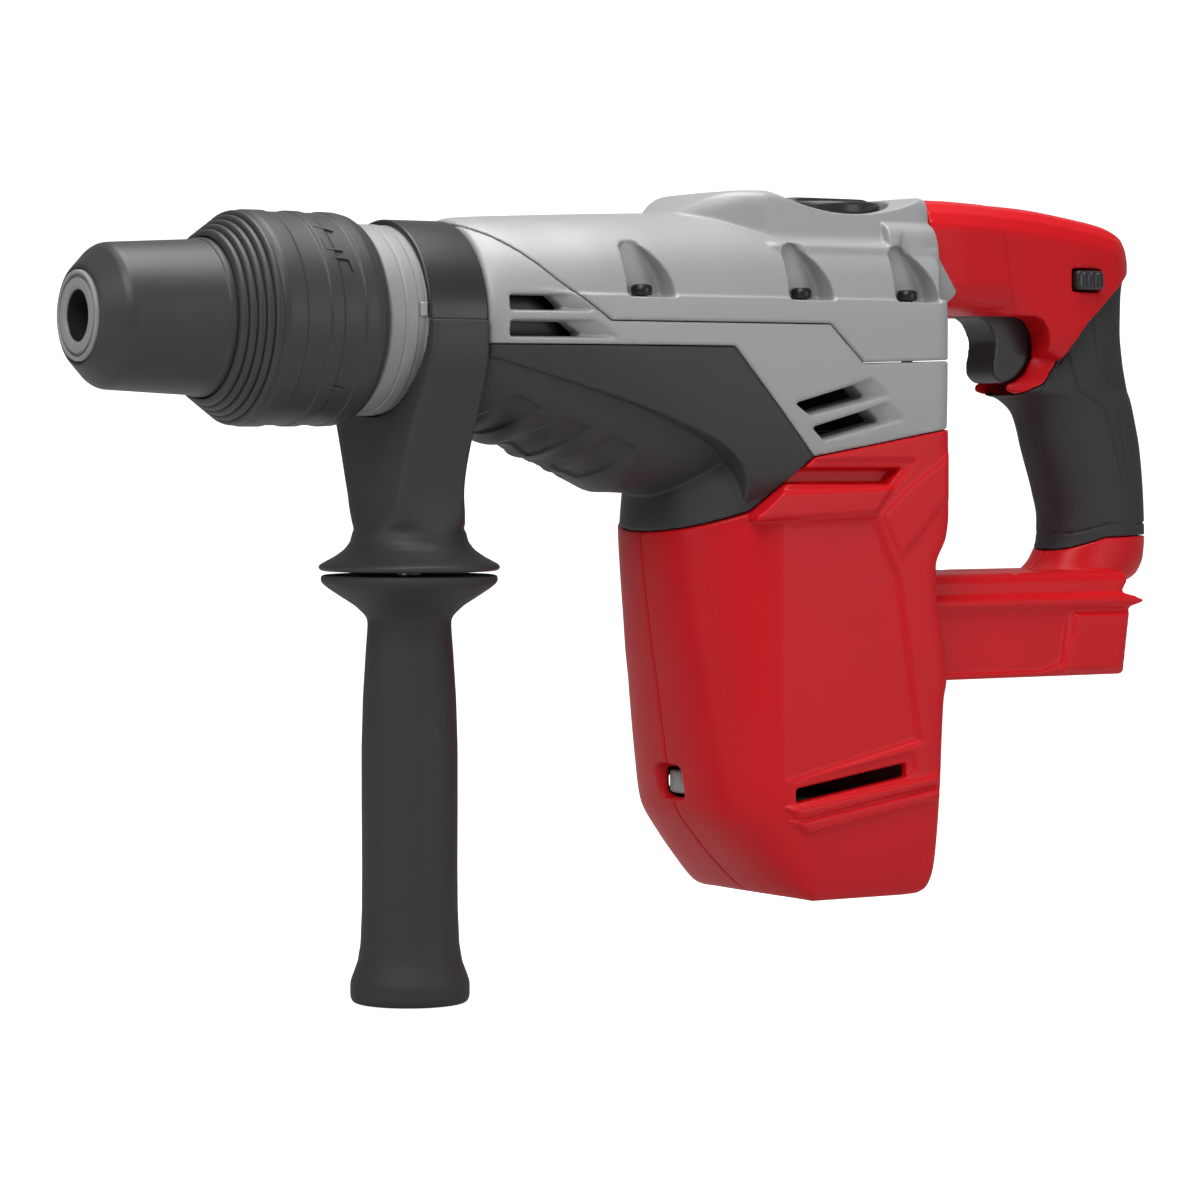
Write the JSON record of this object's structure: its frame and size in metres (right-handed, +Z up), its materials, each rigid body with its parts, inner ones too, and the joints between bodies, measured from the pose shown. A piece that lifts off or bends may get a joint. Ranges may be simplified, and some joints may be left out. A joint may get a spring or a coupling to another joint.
{
  "type": "rotary hammer",
  "caption": "Cordless rotary hammer: quick-release chuck, vertical motor with crank drive, D-shaped rear handle, swinging side handle and a battery foot.",
  "frame": {"origin": "middle of the terminal block's lower face, inside the battery foot", "axes": "+X from the chuck back to the rear handle, +Z up from the battery to the mode knob, +Y to the right-hand side of a person behind the tool"},
  "size_m": [0.4421, 0.0878, 0.2789],
  "materials": {
    "grey_case": "satin grey paint over a die casting",
    "red_shell": "satin moulded plastic",
    "dark_plastic": "matte moulded plastic",
    "grip_rubber": "matte soft grip",
    "neck_metal": "machined casting",
    "steel": "ground steel",
    "black_steel": "blackened steel",
    "contact_metal": "plated contact",
    "seal_grey": "matte seal",
    "board_green": "coated board"
  },
  "bodies": {
    "housing": {"gear_cover": "grey_case", "gear_housing": "grey_case", "lower_cover": "dark_plastic", "motor_housing_left": "red_shell", "motor_housing_right": "red_shell", "handle_left": "red_shell", "handle_right": "red_shell", "grip_overmould": "grip_rubber", "barrel_housing": "neck_metal", "front_bearing": "steel", "cover_screw_1": "black_steel", "cover_screw_2": "black_steel", "cover_screw_3": "black_steel", "cover_screw_4": "black_steel", "cover_screw_5": "black_steel", "cover_screw_6": "black_steel", "terminal_block": "dark_plastic", "terminal_blade_1": "contact_metal", "terminal_blade_2": "contact_metal", "switch_module": "dark_plastic", "control_board": "board_green", "stator": "black_steel", "gear_plate": "neck_metal", "upper_bearing": "steel", "lower_bearing": "steel", "lower_bearing_plate": "dark_plastic", "crank_bearing": "steel"},
    "spindle": {"tool_holder": "steel", "dust_cap": "seal_grey", "nose_sleeve": "dark_plastic", "hammer_tube": "steel", "bevel_ring_gear": "steel", "collar_spring": "steel"},
    "collar": {"collar_sleeve": "dark_plastic", "cam_ring": "steel"},
    "roller_upper": {"lock_roller_upper": "steel"},
    "roller_lower": {"lock_roller_lower": "steel"},
    "anvil": {"anvil": "steel"},
    "striker": {"striker": "steel"},
    "piston": {"piston": "steel", "wrist_pin": "steel"},
    "connecting_rod": {"connecting_rod": "steel", "crank_pin": "steel"},
    "rotor": {"motor_shaft": "steel", "rotor_core": "black_steel", "motor_pinion": "steel", "cooling_fan": "dark_plastic"},
    "crank": {"crank_gear": "steel", "crank_shaft": "steel"},
    "idler": {"idler_gear": "steel", "bevel_pinion": "steel"},
    "side_handle": {"clamp_band": "dark_plastic", "handle_yoke": "dark_plastic"},
    "side_grip": {"side_grip": "grip_rubber", "clamp_bolt": "steel"},
    "trigger": {"trigger": "dark_plastic"},
    "lock_button": {"lock_button": "dark_plastic"},
    "mode_knob": {"mode_knob": "dark_plastic"},
    "speed_dial": {"speed_dial": "seal_grey"}
  },
  "joints": [
    {"name": "spindle_spin", "type": "hinge", "parent": "housing", "child": "spindle", "pos_m": [-0.374, 0, 0.108], "axis": [1, 0, 0], "continuous": true},
    {"name": "idler_spin", "type": "hinge", "parent": "housing", "child": "idler", "pos_m": [-0.1655, 0, 0.108], "axis": [0, 0, 1], "continuous": true},
    {"name": "crank_spin", "type": "hinge", "parent": "housing", "child": "crank", "pos_m": [-0.128, 0, 0.108], "axis": [0, 0, 1], "continuous": true},
    {"name": "rotor_spin", "type": "hinge", "parent": "housing", "child": "rotor", "pos_m": [-0.103, 0, 0.108], "axis": [0, 0, 1], "continuous": true},
    {"name": "collar_pull", "type": "slide", "parent": "spindle", "child": "collar", "axis": [1, 0, 0], "range_m": [0, 0.008], "stiffness_N_per_m": 2500, "springref_m": -0.004, "deforming": ["collar_spring"]},
    {"name": "roller_upper_lift", "type": "slide", "parent": "spindle", "child": "roller_upper", "axis": [0, 0, 1], "range_m": [0, 0.002]},
    {"name": "roller_lower_lift", "type": "slide", "parent": "spindle", "child": "roller_lower", "axis": [0, 0, -1], "range_m": [0, 0.002]},
    {"name": "anvil_slide", "type": "slide", "parent": "housing", "child": "anvil", "axis": [1, 0, 0], "range_m": [-0.005, 0]},
    {"name": "striker_slide", "type": "slide", "parent": "housing", "child": "striker", "axis": [1, 0, 0], "range_m": [0, 0.009]},
    {"name": "piston_slide", "type": "slide", "parent": "housing", "child": "piston", "axis": [1, 0, 0], "range_m": [-0.024, 0]},
    {"name": "rod_swing", "type": "hinge", "parent": "piston", "child": "connecting_rod", "pos_m": [-0.164, 0, 0.108], "axis": [0, 0, 1], "range_deg": [-14, 14]},
    {"name": "side_handle_swing", "type": "hinge", "parent": "housing", "child": "side_handle", "pos_m": [-0.2496, 0, 0.108], "axis": [1, 0, 0], "range_deg": [-180, 180]},
    {"name": "side_grip_twist", "type": "hinge", "parent": "side_handle", "child": "side_grip", "pos_m": [-0.2496, 0, -0.042], "axis": [0, 0, 1], "continuous": true},
    {"name": "trigger_pull", "type": "slide", "parent": "housing", "child": "trigger", "axis": [1, 0, 0], "range_m": [0, 0.009], "stiffness_N_per_m": 900, "springref_m": -0.003},
    {"name": "lock_button_push", "type": "slide", "parent": "housing", "child": "lock_button", "axis": [0, 1, 0], "range_m": [-0.003, 0.003]},
    {"name": "mode_knob_turn", "type": "hinge", "parent": "housing", "child": "mode_knob", "pos_m": [-0.077, 0, 0.147], "axis": [0, 0, 1], "range_deg": [-45, 45]},
    {"name": "speed_dial_turn", "type": "hinge", "parent": "housing", "child": "speed_dial", "pos_m": [-0.1255, 0, -0.0535], "axis": [0, 0, 1], "range_deg": [-135, 135]}
  ],
  "couplings": [
    {"joint": "idler_spin", "follows": "spindle_spin", "ratio": -4.25},
    {"joint": "crank_spin", "follows": "spindle_spin", "ratio": 3.7188},
    {"joint": "rotor_spin", "follows": "spindle_spin", "ratio": -14.875},
    {"joint": "roller_upper_lift", "follows": "collar_pull", "ratio": 0.25},
    {"joint": "roller_lower_lift", "follows": "collar_pull", "ratio": 0.25}
  ]
}
